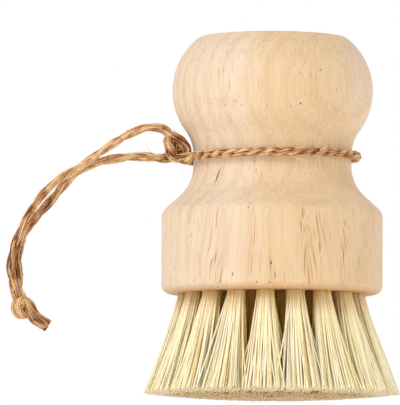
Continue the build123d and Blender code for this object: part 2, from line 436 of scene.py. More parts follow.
def front_streaks(tree, in_mm):
    """How much each place lies in one of the bands of dark streaks, in the drum alone."""
    across = add_node(tree, "ShaderNodeSeparateXYZ", [in_mm])
    strongest = 0.0
    for x, half in STREAK_BANDS:
        band = upright_band(tree, across, x, half * STREAK_CORE, half)
        strongest = add_node(tree, "ShaderNodeMath", (band, strongest), operation="MAXIMUM")
    in_drum = add_node(
        tree, "ShaderNodeMapRange", (across.node.outputs["Z"], *STREAK_FADE, 1.0, 0.0)
    )
    return add_node(tree, "ShaderNodeMath", (strongest, in_drum), operation="MULTIPLY")


def beech_turned_sanded(wood):
    """Beech, turned and sanded bare: pale and dull, with short vessel lines along the grain, faint
    growth rings that close to ovals on the knob, and level circles from the lathe. Just above the
    foot's edge it has painted shade."""
    material, tree = new_material("beech_turned_sanded")
    in_mm = place_in_mm(tree)
    height = add_node(tree, "ShaderNodeSeparateXYZ", [in_mm], out="Z")
    spread = add_node(
        tree, "ShaderNodeMapRange",
        (height, SPREAD_HEIGHT, SPREAD_HEIGHT + SPREAD_REACH, 1.0, 2.0), clamp=False,
    )
    widened = add_node(tree, "ShaderNodeCombineXYZ", (spread, 1.0, 1.0))
    straight = add_node(tree, "ShaderNodeVectorMath", (in_mm, widened), operation="MULTIPLY")
    wobble = drawn_pattern(tree, in_mm, GRAIN_WOBBLE, out="Color")
    grain = add_node(
        tree, "ShaderNodeVectorMath", (wobble, (WOBBLE_REACH, WOBBLE_REACH, 0.0), straight),
        operation="MULTIPLY_ADD",
    )

    # The board of warmer wood, with a soft uneven edge. The wobble's mean is half its reach
    across = add_node(tree, "ShaderNodeSeparateXYZ", [grain])
    warmth = upright_band(tree, across, WARM_MIDDLE + WOBBLE_REACH / 2, *WARM_HALF_WIDTH)

    # Long fine lines of fibre, about one in each millimetre
    lines = drawn_pattern(tree, grain, FIBRE_LINES)
    line_share = add_node(tree, "ShaderNodeMapRange", (lines, *LINES_SHOWN))

    # The vessels keep together in long bands, and so do the fine streaks
    clusters = drawn_pattern(tree, grain, VESSEL_CLUSTERS)
    vessels = [vessel_lines(tree, grain, clusters, kind) for kind in VESSELS]
    banded = add_node(tree, "ShaderNodeMapRange", (clusters, *CLUSTERS_SHOWN))
    banded = add_node(
        tree, "ShaderNodeMath", (front_streaks(tree, in_mm), FRONT_STREAKS, banded),
        operation="MULTIPLY_ADD",
    )
    streaks = drawn_pattern(tree, grain, FINE_STREAKS)
    streaks = add_node(tree, "ShaderNodeMapRange", (streaks, *STREAKS_SHOWN))
    streaks = add_node(tree, "ShaderNodeMath", (streaks, banded), operation="MULTIPLY")

    # Painted shade: darker, warmer wood just above the foot's edge
    foot = FOOT_HEIGHT / MM
    edge = add_node(
        tree, "ShaderNodeMapRange", (height, foot, foot + FOOT_SHADE_HEIGHT, FOOT_SHADE_SHARE, 0.0)
    )
    marks = front_marks(tree, in_mm)
    layers = [
        (warmth, wood.warm),
        (growth_rings(tree, grain, wood), wood.ring),
        (line_share, wood.ring),
        (streaks, wood.vessel),
        # The painted shade at the foot's edge
        (edge, wood.ring),
        *((vessel, wood.vessel) for vessel in vessels),
        (marks, wood.mark),
    ]
    colour = opaque(wood.pale)
    for share, above in layers:
        colour = add_node(
            tree, "ShaderNodeMix", {0: share, 6: colour, 7: opaque(above)},
            out=2, data_type="RGBA",
        )

    # Vessels and marks are fine grooves, and the lathe and the paper leave level circles
    circles = drawn_pattern(tree, in_mm, LATHE_CIRCLES)
    reliefs = [(vessel, VESSEL_RELIEF) for vessel in vessels]
    reliefs += [(marks, MARK_RELIEF), (circles, CIRCLE_RELIEF)]
    relief = lines
    for part, rise in reliefs:
        relief = add_node(
            tree, "ShaderNodeMath", (part, rise, relief), operation="MULTIPLY_ADD"
        )
    bump = add_node(
        tree, "ShaderNodeBump", {"Height": relief, "Strength": 0.35, "Distance": LINE_HEIGHT}
    )
    gloss = add_node(tree, "ShaderNodeMapRange", (lines, *LINES_ROUGHNESS))
    shader = add_node(
        tree, "ShaderNodeBsdfPrincipled",
        {"Base Color": colour, "Roughness": gloss, "IOR": 1.45, "Normal": bump},
    )
    add_node(tree, "ShaderNodeOutputMaterial", [shader])
    return material


def dress(node_name, material):
    """Gives a CAD node its finish through its object's own material slots."""
    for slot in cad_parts[node_name].material_slots:
        slot.material = material


class PALMBRUSH_OT_handle(bpy.types.Operator):
    """Finishes the turned handle as bare sanded beech"""

    bl_idname = "palmbrush.handle"
    bl_label = "Finish handle"

    def execute(self, context):
        dress("handle", beech_turned_sanded(context.scene.palm_brush_wood))
        return {"FINISHED"}


# The staples that hold the tufts

# The lines along the wire, and the roughness from their lowest to their highest
WIRE_LINES = ((20.0, 20.0, 0.5), 2.0, 0.5)
WIRE_ROUGHNESS = (0.0, 1.0, 0.28, 0.45)


class PalmBrushSteel(bpy.types.PropertyGroup):
    """Colour of the staple wire."""

    colour: FloatVectorProperty(
        name="Steel", description="Colour of the drawn wire", subtype="COLOR",
        default=linear("#B9B9BC"),
    )


def steel_wire_drawn(steel):
    """Steel wire, drawn: bright grey metal with fine lines along its pull."""
    material, tree = new_material("steel_wire_drawn")
    scratch = drawn_pattern(tree, place_in_mm(tree), WIRE_LINES)
    gloss = add_node(tree, "ShaderNodeMapRange", (scratch, *WIRE_ROUGHNESS))
    shader = add_node(
        tree, "ShaderNodeBsdfPrincipled",
        {"Base Color": opaque(steel.colour), "Metallic": 1.0, "Roughness": gloss},
    )
    add_node(tree, "ShaderNodeOutputMaterial", [shader])
    return material


class PALMBRUSH_OT_staples(bpy.types.Operator):
    """Finishes the staples as drawn steel wire"""

    bl_idname = "palmbrush.staples"
    bl_label = "Finish staples"

    def execute(self, context):
        dress("staples", steel_wire_drawn(context.scene.palm_brush_steel))
        return {"FINISHED"}


# The bristle tufts


class PalmBrushTufts(bpy.types.PropertyGroup):
    """Sizes and colours of the bristles."""

    fibres: IntProperty(
        name="Fibres", description="Fibres that leave each hole", default=260, min=20
    )
    thickness: FloatProperty(
        name="Thickness", description="Usual diameter of a fibre at the wood", unit="LENGTH",
        default=0.42 * MM,
    )
    hidden_root: FloatProperty(
        name="Hidden root", description="How far a fibre reaches into its hole",
        unit="LENGTH", default=2.5 * MM,
    )
    stray: FloatProperty(
        name="Stray", description="How far a fibre's tip may lie from its even place",
        unit="LENGTH", default=0.8 * MM,
    )
    bow: FloatProperty(
        name="Bow", description="How far a fibre may bend from its straight line",
        unit="LENGTH", default=0.45 * MM,
    )
    ragged: FloatProperty(
        name="Ragged", description="How unevenly the tips are trimmed", unit="LENGTH",
        default=0.55 * MM,
    )
    trim_rise: FloatProperty(
        name="Trim rise", description="How much higher the rim's tips are than the middle's",
        unit="LENGTH", default=1.6 * MM,
    )
    pale: FloatVectorProperty(
        name="Pale fibre", description="Colour of the palest fibres", subtype="COLOR",
        default=linear("#FFFBE6"),
    )
    straw: FloatVectorProperty(
        name="Straw fibre", description="Colour of most fibres", subtype="COLOR",
        default=linear("#FFF2BC"),
    )
    # The gold also serves as painted shade for the fibres deep in the brush
    gold: FloatVectorProperty(
        name="Gold fibre", description="Colour of the darkest fibres, deep in the brush",
        subtype="COLOR", default=linear("#DCAE4C"),
    )
    # The root's colour is painted shade near the wood
    root: FloatVectorProperty(
        name="Root", description="Colour of the fibres at the wood", subtype="COLOR",
        default=linear("#D2A358"),
    )
    # The cut tips' colour is pale partly as painted light on the brush's dark underside
    cut: FloatVectorProperty(
        name="Cut end", description="Colour of the cut tips", subtype="COLOR",
        default=linear("#F4EAD2"),
    )


# Where along a fibre its rings lie, and how thick it is there, as shares
FIBRE_RINGS = (
    (0.0, 1.0), (0.14, 1.0), (0.32, 1.0), (0.5, 1.0), (0.68, 1.0), (0.85, 0.98),
    (0.985, 0.95), (1.0, 0.93),
)
FIBRE_SIDES = 4
# How thick the thinnest and the thickest fibres are, as shares
FIBRE_SIZE_SHARES = (0.7, 1.3)
GOLDEN_ANGLE = math.pi * (3 - math.sqrt(5))
# How far across its hole a tuft's fibres stand
ROOT_FILL_SHARE = 0.96
# The share of fibres that cross others, and how much further than the rest these stray
CROSSING_SHARE = 0.05
CROSSING_REACH = 3.2
# How much of a fibre's spread is straight. The rest bends outwards towards the tip
STRAIGHT_SHARE = 0.82
# A tuft's points this near to the foot's height lie at the hole's mouth, and those in this
# lowest share of the height are its tips
MOUTH_REACH = 0.01 * MM
TIPS_SHARE = 1 / 8
# The brush's outermost fibres are pale. Further in they grow golden as painted shade between the
# tufts: the tips' places where that starts and ends, as shares of the radius, and how much it adds
# to a fibre's shade
PALE_RIM = (0.88, 0.7)
PAINTED_DEEP_SHADE = 0.75
# How much chance adds to a fibre's shade at most, and the beta spread of its draws, most of
# which are low
CHANCE_SHADE = 0.65
CHANCE_DRAWS = (1.5, 2.8)
# The fibres' fine mottle, which drawn_pattern takes, and how much it adds to their shade
MOTTLE = ((3.0, 3.0, 0.22), 2.0, 0.5)
MOTTLE_SHADE = 0.5
# From where to where along a fibre two colours show, and how strongly they do at each end: the
# root's, which is painted shade near the wood, and the cut end's, which is pale partly as painted
# light on the brush's dark underside
ROOT_SHADE_SHOWN = (0.06, 0.32, 0.85, 0.0)
CUT_SHOWN = (0.99, 0.999, 0.0, 0.85)


def tampico_fibre_cut(tufts):
    """Tampico, a stiff leaf fibre, combed and cut: cream fibres with a soft sheen among golden ones,
    browner towards the wood as painted shade, and pale at the cut ends, partly as painted light."""
    material, tree = new_material("tampico_fibre_cut")
    shade = add_node(tree, "ShaderNodeAttribute", out="Fac", attribute_name="shade")
    along = add_node(tree, "ShaderNodeAttribute", out="Fac", attribute_name="along")
    mottle = drawn_pattern(tree, place_in_mm(tree), MOTTLE)
    tone = add_node(
        tree, "ShaderNodeMath", (mottle, MOTTLE_SHADE, shade), operation="MULTIPLY_ADD"
    )
    colour = add_node(
        tree, "ShaderNodeValToRGB", [tone],
        stops=((0.3, tufts.pale), (1.0, tufts.gold), (0.6, tufts.straw)),
    )
    # Painted shade at the roots, then the cut ends' pale colour, which is partly painted light
    for shown, above in ((ROOT_SHADE_SHOWN, tufts.root), (CUT_SHOWN, tufts.cut)):
        share = add_node(tree, "ShaderNodeMapRange", (along, *shown))
        colour = add_node(
            tree, "ShaderNodeMix", {0: share, 6: colour, 7: opaque(above)},
            out=2, data_type="RGBA",
        )
    shader = add_node(
        tree, "ShaderNodeBsdfPrincipled", {"Base Color": colour, "Roughness": 0.45, "IOR": 1.5}
    )
    add_node(tree, "ShaderNodeOutputMaterial", [shader])
    return material


def tuft_place(node_name):
    """A tuft's middles and radii at its hole's mouth and at its tips, from its solid."""
    corners = np.array([v.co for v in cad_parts[node_name].data.vertices])
    at_mouth = corners[abs(corners[:, 2] - FOOT_HEIGHT) < MOUTH_REACH]
    at_tips = corners[corners[:, 2] < FOOT_HEIGHT * TIPS_SHARE]
    mouth = (at_mouth.min(0) + at_mouth.max(0)) / 2
    tips = (at_tips.min(0) + at_tips.max(0)) / 2
    root_radius = np.linalg.norm((at_mouth - mouth)[:, :2], axis=1).max()
    tip_radius = np.linalg.norm((at_tips - tips)[:, :2], axis=1).max()
    return mouth, tips, root_radius, tip_radius


def fibre_lines(node_name, tufts, random):
    """Every fibre of a tuft as its points from root to tip: an array of fibre, ring, xyz."""
    mouth, tips, root_radius, tip_radius = tuft_place(node_name)
    count = tufts.fibres
    number = np.arange(count)
    angle = number * GOLDEN_ANGLE + random.uniform(0, 2 * math.pi)
    share = np.sqrt((number + 0.5) / count)
    spot = np.stack([np.cos(angle), np.sin(angle)], 1) * share[:, None]
    root = mouth[:2] + spot * (root_radius - tufts.thickness / 2) * ROOT_FILL_SHARE
    stray = random.normal(0, tufts.stray, (count, 2))
    crossing = random.random(count) < CROSSING_SHARE
    stray[crossing] *= CROSSING_REACH
    tip = tips[:2] + spot * tip_radius + stray
    # No tip leaves the round of the brush
    from_axis = np.linalg.norm(tip, axis=1)
    limit = BRISTLE_RADIUS - random.uniform(0, tufts.ragged, count)
    tip *= np.minimum(1, limit / np.maximum(from_axis, limit / 2))[:, None]
    from_axis = np.linalg.norm(tip, axis=1) / BRISTLE_RADIUS
    tip_height = tufts.trim_rise * from_axis**2 + random.uniform(-0.5, 0.5, count) * tufts.ragged
    tip_height = np.maximum(0, tip_height)
    bow_angle = random.uniform(0, 2 * math.pi, count)
    bow = np.stack([np.cos(bow_angle), np.sin(bow_angle)], 1)
    bow *= random.uniform(0, tufts.bow, count)[:, None]
    top = FOOT_HEIGHT + tufts.hidden_root
    lines = np.empty((count, len(FIBRE_RINGS), 3))
    for ring, (t, _) in enumerate(FIBRE_RINGS):
        height = top + (tip_height - top) * t
        out = np.clip((FOOT_HEIGHT - height) / (FOOT_HEIGHT - tip_height), 0, 1)[:, None]
        spread = STRAIGHT_SHARE * out + (1 - STRAIGHT_SHARE) * out**2
        lines[:, ring, :2] = root + (tip - root) * spread + bow * np.sin(math.pi * out)
        lines[:, ring, 2] = height
    return lines


def add_fibres(parts, lines, thickness, random):
    """Adds a closed slim prism round each line, with its shade and how far along it is."""
    along = np.array([t for t, _ in FIBRE_RINGS])[:, None]
    taper = np.array([thick for _, thick in FIBRE_RINGS])
    rim, deep = PALE_RIM
    for line in lines:
        # Fibres whose tips lie deep in the brush take painted shade
        from_axis = math.hypot(*line[-1, :2]) / BRISTLE_RADIUS
        depth = min(max((rim - from_axis) / (rim - deep), 0), 1)
        turn = random.uniform(0, 2 * math.pi)
        out = np.tile((math.cos(turn), math.sin(turn), 0.0), (len(line), 1))
        side = np.tile((-math.sin(turn), math.cos(turn), 0.0), (len(line), 1))
        radius = thickness / 2 * random.uniform(*FIBRE_SIZE_SHARES) * taper
        rings = tube(line[::-1], out, side, radius[::-1], FIBRE_SIDES)
        shade = CHANCE_SHADE * random.beta(*CHANCE_DRAWS) + PAINTED_DEEP_SHADE * depth
        parts.add(rings, shade=shade, along=along[::-1])


class PALMBRUSH_OT_tufts(bpy.types.Operator):
    """Grows each tuft's fine fibres out of its hole"""

    bl_idname = "palmbrush.tufts"
    bl_label = "Grow tufts"

    def execute(self, context):
        tufts = context.scene.palm_brush_tufts
        material = tampico_fibre_cut(tufts)
        for seed, node_name in enumerate(TUFT_NODES):
            random = np.random.default_rng(seed)
            parts = MeshParts()
            add_fibres(parts, fibre_lines(node_name, tufts, random), tufts.thickness, random)
            name = node_name.replace("tuft", "fibres")
            piece = place_mesh(name, parts, "brush", material)
            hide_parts(node_name)
        return {"FINISHED"}


# The jute twine: a turn tied round the waist, and a loop whose two ends are knotted together

PLIES = 2
YARNS = 17
CORE_SIDES = 8
YARN_SIDES = 4
# The length of twine from one ring of points to the next
RING_STEP = 0.32 * MM
# Shares of the twine's radius: a yarn's radius, and how deep a ply's core lies in it
YARN_SHARE = 0.115
CORE_DEPTH_SHARE = 0.09
# The yarns turn in their ply against the twist of the plies, by this share of it
YARN_TURN_SHARE = 1.1
# How far the plies sway round each other, how much they swell, and the length of each
PLY_SWAY = 0.2
PLY_SWAY_LENGTH = 2.8 * MM
PLY_SWELL = 0.06
PLY_SWELL_LENGTH = 4 * MM
# How far the yarns wander round their ply, lift from it and swell, and the shortest and the
# longest lengths of these three, in millimetres
YARN_WANDER = 0.3
YARN_LIFT = 0.06
YARN_SWELL = 0.35
YARN_LENGTHS = ((2.5, 5.0), (1.5, 4.0), (2.0, 5.0))
# How thick the thinnest and the thickest yarns are, and how much of a yarn lies in its ply
YARN_SIZE_SHARES = (0.75, 1.3)
YARN_SUNK = 0.8
# The shade of a ply's core, painted dark as shade where it shows between the yarns
CORE_PAINTED_SHADE = 0.15
# The random seeds of the first ply, of the tails' cut ends and of the hairs
PLY_SEED = 40
CUT_SEED = 3
HAIR_SEED = 7
# From where a fibre stands proud, as a share of the twine's radius, and over how much more
PROUD_FROM = 0.35
PROUD_OVER = 0.75
# How often the middle line, and the lay and thickness from stretch to stretch, are evened out
LINE_PASSES = 5
SHARE_PASSES = 60
# Each stretch's length of lay and thickness as shares of the twine's, and how far a ply's
# middle lies from the twine's, as a share of its radius. Less far makes it rounder
STRETCH_SHARES = {
    "tail_one": (2.0, 1.1, 0.25), "end_one": (1.5, 1.05, 0.25), "upper_leg": (1.7, 1.0, 0.28),
    "legs_knot": (1.4, 1.35, 0.3), "lower_leg": (1.7, 1.12, 0.28), "end_two": (1.5, 1.05, 0.25),
    "tail_two": (2.0, 1.1, 0.25), "turn_front": (1.2, 1.5, 0.3), "turn": (0.85, 1.1, 0.36),
    "turn_back": (1.0, 1.1, 0.35),
}
# How unevenly the yarns of a tail are cut
FRAY = 0.9 * MM
# Each piece of twine, with its stretches and the CAD node that it stands for
TWINE_PIECES = {
    "twine_turn": (("turn",), "neck_turn"),
    "twine_upper_leg": (("upper_leg",), "loop_upper_leg"),
    "twine_lower_leg": (("lower_leg",), "loop_lower_leg"),
    "twine_neck_knot": (("legs_knot", "turn_front", "turn_back"), "neck_knot"),
    "twine_end_knot": (("end_one", "end_two"), "end_knot"),
    "twine_tails": (("tail_one", "tail_two"), "cord_tails"),
}
# The turn round the waist: its radius and, in degrees, its two ends and its tilt
TURN_RADIUS = 19.9 * MM
TURN_ANGLES = (200.0, 528.0)
TURN_TILT = 0.9


class PalmBrushTwine(bpy.types.PropertyGroup):
    """Sizes and colours of the hanging loop's twine."""

    thickness: FloatProperty(
        name="Thickness", description="Diameter of the twine", unit="LENGTH", default=2.0 * MM
    )
    lay: FloatProperty(
        name="Lay", description="Length in which a ply turns once round the tight twine",
        unit="LENGTH", default=7.6 * MM,
    )
    light: FloatVectorProperty(
        name="Light jute", description="Colour of the palest fibres", subtype="COLOR",
        default=linear("#F7DAAE"),
    )
    middle: FloatVectorProperty(
        name="Jute", description="Colour of most fibres", subtype="COLOR",
        default=linear("#CA9562"),
    )
    dark: FloatVectorProperty(
        name="Dark jute", description="Colour of the darkest fibres", subtype="COLOR",
        default=linear("#6B3A1A"),
    )
    hair_thickness: FloatProperty(
        name="Hair thickness", description="Diameter of a loose hair", unit="LENGTH",
        default=0.07 * MM,
    )
    hair_spacing: FloatProperty(
        name="Hair spacing", description="Length of twine for each loose hair",
        unit="LENGTH", default=0.55 * MM,
    )
    hair_length: FloatProperty(
        name="Hair length", description="Usual length of a loose hair", unit="LENGTH",
        default=1.5 * MM,
    )


# Paler and darker places along the loop, in millimetres: the middle's x and z, the radius, and
# how much paler or darker it is
JUTE_PATCHES = [
    (-40.0, 57.5, 14.0, 0.32),
    (-54.5, 45.0, 4.5, -0.15),
    (-60.5, 34.0, 7.5, -0.28),
    (-60.0, 21.5, 3.5, 0.25),
    (-55.0, 18.8, 2.6, -0.25),
    # Painted shade in and about the neck knot's hollow
    (-22.4, 58.8, 3.4, -0.5),
]
# Each place goes through the loop from front to back, by this many millimetres, and fades
# between these shares of its radius
PATCH_DEPTH = 40.0
PATCH_FADE = (0.4, 1.2)
# The jute's patterns, which drawn_pattern takes: patches along each yarn, whose place is its
# run in metres and its own shade, and flecks
YARN_PATCHES = ((0.3 / MM, 40.0, 1.0), 3.0, 0.6)
JUTE_FLECKS = ((0.5, 0.5, 0.5), 4.0, 0.5)
# How much patches, flecks and standing proud add to a fibre's tone, the darkest and the lightest
# tone, and how high the flecks stand. Fibres down in the twine stand less proud and so take painted
# shade
PATCH_TONE = 0.8
FLECK_TONE = 1.3
GROOVE_PAINTED_SHADE = 1.0
TONE_RANGE = (1.3, 2.9)
FLECK_HEIGHT = 0.1 * MM


def patchy_tone(tree, in_mm, tone):
    """The jute's tone with the loop's paler and darker places, each a soft round spot."""
    for x, z, radius, change in JUTE_PATCHES:
        away = lens_distance(tree, in_mm, (x, 0.0, z), (radius, PATCH_DEPTH, radius))
        shift = add_node(tree, "ShaderNodeMapRange", (away, *PATCH_FADE, change, 0.0))
        tone = add_node(tree, "ShaderNodeMath", (tone, shift), operation="ADD")
    return tone


def jute_twisted(twine):
    """Jute, spun in two plies and twisted: dull brown fibres that run along each yarn, with painted
    light where they stand proud and painted shade down between the plies."""
    material, tree = new_material("jute_twisted")
    run, shade, proud = [
        add_node(tree, "ShaderNodeAttribute", out="Fac", attribute_name=name)
        for name in ("run", "shade", "proud")
    ]
    by_yarn = add_node(tree, "ShaderNodeCombineXYZ", (run, shade))
    patches = drawn_pattern(tree, by_yarn, YARN_PATCHES)
    in_mm = place_in_mm(tree)
    flecks = drawn_pattern(tree, in_mm, JUTE_FLECKS)
    tone = shade
    for part, weight in ((patches, PATCH_TONE), (flecks, FLECK_TONE), (proud, GROOVE_PAINTED_SHADE)):
        tone = add_node(tree, "ShaderNodeMath", (part, weight, tone), operation="MULTIPLY_ADD")
    tone = patchy_tone(tree, in_mm, tone)
    share = add_node(tree, "ShaderNodeMapRange", (tone, *TONE_RANGE))
    colour = add_node(
        tree, "ShaderNodeValToRGB", [share],
        stops=((0.1, twine.dark), (0.9, twine.light), (0.5, twine.middle)),
    )
    bump = add_node(
        tree, "ShaderNodeBump", {"Height": flecks, "Strength": 0.4, "Distance": FLECK_HEIGHT}
    )
    shader = add_node(
        tree, "ShaderNodeBsdfPrincipled",
        {"Base Color": colour, "Roughness": 0.8, "IOR": 1.45, "Normal": bump},
    )
    add_node(tree, "ShaderNodeOutputMaterial", [shader])
    return material


def spline_points(route):
    """The smooth line that a route's points control, read from its NURBS spline."""
    curve = bpy.data.curves.new("route", "CURVE")
    curve.dimensions = "3D"
    curve.resolution_u = 16
    spline = curve.splines.new("NURBS")
    spline.points.add(len(route) - 1)
    for point, place in zip(spline.points, route):
        point.co = (*place, 1.0)
    spline.order_u = 3
    spline.use_endpoint_u = True
    holder = bpy.data.objects.new("route", curve)
    mesh = bpy.data.meshes.new_from_object(holder)
    points = np.array([v.co for v in mesh.vertices])
    bpy.data.objects.remove(holder)
    bpy.data.meshes.remove(mesh)
    bpy.data.curves.remove(curve)
    return points


def run_along(line):
    """How far along a line each of its points lies."""
    gaps = np.linalg.norm(np.diff(line, axis=0), axis=1)
    return np.concatenate([[0], np.cumsum(gaps)])


def even_steps(points, step):
    """The line's points again, an even step apart."""
    place = run_along(points)
    wanted = np.linspace(0, place[-1], max(2, round(place[-1] / step) + 1))
    return np.stack([np.interp(wanted, place, points[:, axis]) for axis in range(3)], 1)


def smoothed(values, passes):
    """Values evened out with their neighbours, with the first and last kept."""
    values = np.array(values, float)
    for _ in range(passes):
        values[1:-1] = (values[:-2] + 2 * values[1:-1] + values[2:]) / 4
    return values


def even_noise(run, spacing, random):
    """Smooth random values along a run, from about -1 to 1."""
    knots = random.uniform(-1, 1, int((run[-1] - run[0]) / spacing) + 3)
    place = (run - run[0]) / spacing
    low = place.astype(int)
    t = place - low
    t = t * t * (3 - 2 * t)
    return knots[low] * (1 - t) + knots[low + 1] * t


def neck_turn_line():
    """The turn's middle line round the waist, from the knot's front to its back."""
    first, last = np.radians(TURN_ANGLES)
    tilt = math.radians(TURN_TILT)
    angles = np.arange(first, last, RING_STEP / TURN_RADIUS)
    x, y = TURN_RADIUS * np.cos(angles), TURN_RADIUS * np.sin(angles)
    return np.stack([x * math.cos(tilt), y, TURN_HEIGHT + x * math.sin(tilt)], 1)


def twine_routes():
    """The two lengths of twine, each as its stretches' names and lines in order."""
    turn = neck_turn_line()
    first_tail, second_tail = TAIL_ROUTES
    middle = np.array(END_KNOT_MIDDLE)
    first_end, second_end = [[middle + point for point in route] for route in END_KNOT_ROUTES]
    loop = {
        "tail_one": first_tail[::-1],
        "end_one": [first_tail[0], *first_end[::-1], UPPER_LEG_ROUTE[-1]],
        "upper_leg": UPPER_LEG_ROUTE[::-1],
        "legs_knot": [UPPER_LEG_ROUTE[0], *LEGS_KNOT_ROUTE, LOWER_LEG_ROUTE[0]],
        "lower_leg": LOWER_LEG_ROUTE,
        "end_two": [LOWER_LEG_ROUTE[-1], *second_end, second_tail[0]],
        "tail_two": second_tail,
    }
    ring = {
        "turn_front": [*TURN_FRONT_ROUTE[::-1], turn[0]],
        "turn": turn,
        "turn_back": [turn[-1], *TURN_BACK_ROUTE],
    }
    return [
        {
            name: even_steps(turn if name == "turn" else spline_points(route), RING_STEP)
            for name, route in routes.items()
        }
        for routes in (loop, ring)
    ]


class TwineCourse:
    """One length of twine: its middle line, with the frame, twist and thickness at each point."""

    def __init__(self, twine, stretches):
        line, shares, self.spans = [], [], {}
        for name, points in stretches.items():
            first = max(0, len(line) - 1)
            line += list(points[1:] if line else points)
            shares += [STRETCH_SHARES[name]] * (len(line) - len(shares))
            self.spans[name] = (first, len(line))
        self.line = smoothed(line, LINE_PASSES)
        self.run = run_along(self.line)
        lay, size, self.offset = smoothed(shares, SHARE_PASSES).T
        self.radius = size * twine.thickness / 2
        steps = np.gradient(self.run) / (lay * twine.lay)
        # The plies turn left-handed round each other
        self.phase = -2 * math.pi * np.cumsum(steps)
        self.tangent = np.gradient(self.line, axis=0)
        self.tangent /= np.linalg.norm(self.tangent, axis=1)[:, None]
        self.across = self.carried_across()
        self.other = np.cross(self.tangent, self.across)

    def carried_across(self):
        """A cross direction carried along the line without twist."""
        across = np.empty_like(self.line)
        start = np.cross(self.tangent[0], (0.0, 1.0, 0.0))
        across[0] = start / np.linalg.norm(start)
        for i in range(1, len(across)):
            before = across[i - 1]
            side = before - self.tangent[i] * (before @ self.tangent[i])
            across[i] = side / np.linalg.norm(side)
        return across

    def direction(self, angle):
        """The direction across the line at an angle, for every point."""
        return self.across * np.cos(angle)[:, None] + self.other * np.sin(angle)[:, None]

    def proud(self, rings):
        """How far a tube's points stand out of the twine, from 0 within to 1 at its outside."""
        away = np.linalg.norm(rings - self.line[:, None], axis=2) / self.radius[:, None]
        return np.clip((away - PROUD_FROM) / PROUD_OVER, 0, 1)


def twine_tubes(course):
    """Every core and yarn of the twine as rings of points, with their shade and proud."""
    tubes = []
    for ply in range(PLIES):
        random = np.random.default_rng(PLY_SEED + ply)
        sway = even_noise(course.run, PLY_SWAY_LENGTH, random)
        turn = course.phase + ply * 2 * math.pi / PLIES + PLY_SWAY * sway
        out = course.direction(turn)
        middle = course.line + out * (course.radius * course.offset)[:, None]
        swell = 1 + PLY_SWELL * even_noise(course.run, PLY_SWELL_LENGTH, random)
        plump = course.radius * (1 - course.offset) * swell
        side = np.cross(course.tangent, out)
        core = tube(middle, out, side, plump - course.radius * CORE_DEPTH_SHARE, CORE_SIDES)
        # The core is painted dark, as shade between the yarns
        tubes.append((core, CORE_PAINTED_SHADE, course.proud(core)))
        for yarn in range(YARNS):
            wander, lift, swell = [
                even_noise(course.run, random.uniform(*lengths) * MM, random)
                for lengths in YARN_LENGTHS
            ]
            start = yarn * 2 * math.pi / YARNS
            angle = start - YARN_TURN_SHARE * course.phase + YARN_WANDER * wander
            radial = out * np.cos(angle)[:, None] + side * np.sin(angle)[:, None]
            thick = course.radius * YARN_SHARE * (1 + YARN_SWELL * swell)
            thick = thick * random.uniform(*YARN_SIZE_SHARES)
            depth = plump - YARN_SUNK * thick + course.radius * YARN_LIFT * lift
            centre = middle + radial * depth[:, None]
            beside = np.cross(course.tangent, radial)
            rings = tube(centre, radial, beside, thick, YARN_SIDES)
            tubes.append((rings, random.random(), course.proud(rings)))
    return tubes


def cut_uneven(name, first, last, random):
    """A stretch's rings from first to last, with a tail's free end cut at random."""
    fray = int(random.uniform(0, FRAY) / RING_STEP)
    if name == "tail_one":
        first += fray
    if name == "tail_two":
        last -= fray
    return slice(first, last)


def twine_courses(twine):
    """Both lengths of twine."""
    return [TwineCourse(twine, stretches) for stretches in twine_routes()]


def wind(name, twine):
    """Makes one piece of twine in place of its CAD node."""
    stretches, node_name = TWINE_PIECES[name]
    random = np.random.default_rng(CUT_SEED)
    parts = MeshParts()
    for course in twine_courses(twine):
        tubes = twine_tubes(course)
        for stretch, span in course.spans.items():
            for rings, shade, proud in tubes if stretch in stretches else ():
                kept = cut_uneven(stretch, *span, random)
                parts.add(
                    rings[kept], run=course.run[kept, None], shade=shade, proud=proud[kept]
                )
    material = bpy.data.materials.get("jute_twisted") or jute_twisted(twine)
    piece = place_mesh(name, parts, "cord", material)
    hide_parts(node_name)
    return piece


class PALMBRUSH_OT_neck_turn(bpy.types.Operator):
    """Winds the twine's turn round the waist"""

    bl_idname = "palmbrush.neck_turn"
    bl_label = "Wind turn"

    def execute(self, context):
        wind("twine_turn", context.scene.palm_brush_twine)
        return {"FINISHED"}


class PALMBRUSH_OT_knots(bpy.types.Operator):
    """Ties the knot at the waist and the knot at the loop's end"""

    bl_idname = "palmbrush.knots"
    bl_label = "Tie knots"

    def execute(self, context):
        wind("twine_neck_knot", context.scene.palm_brush_twine)
        wind("twine_end_knot", context.scene.palm_brush_twine)
        return {"FINISHED"}


class PALMBRUSH_OT_tails(bpy.types.Operator):
    """Leaves the twine's two cut tails below the end knot"""

    bl_idname = "palmbrush.tails"
    bl_label = "Leave tails"

    def execute(self, context):
        wind("twine_tails", context.scene.palm_brush_twine)
        return {"FINISHED"}


class PALMBRUSH_OT_legs(bpy.types.Operator):
    """Hangs the loop's two legs between the knots, once the knots and tails are there"""

    bl_idname = "palmbrush.legs"
    bl_label = "Hang legs"

    def execute(self, context):
        twine = context.scene.palm_brush_twine
        ends = [bpy.data.objects[name] for name in ("twine_end_knot", "twine_tails")]
        routes = {
            "twine_upper_leg": (UPPER_LEG_ROUTE, ends),
            "twine_lower_leg": (LOWER_LEG_ROUTE, ()),
        }
        for name, (route, with_pieces) in routes.items():
            path = spline_points(route)
            wind(name, twine)
        return {"FINISHED"}


# Loose hairs of the twine

HAIR_RINGS = 7
HAIR_SIDES = 3
# The share of the twine's radius at which a hair leaves it
HAIR_ROOT_SHARE = 0.85
# How far a hair swerves to its side, and how steeply the flattest and the steepest ones rise
HAIR_SWERVE = 0.5
HAIR_RISES = (0.15, 0.75)
# How evenly long the hairs are: the more, the more even
HAIR_EVENNESS = 3.0
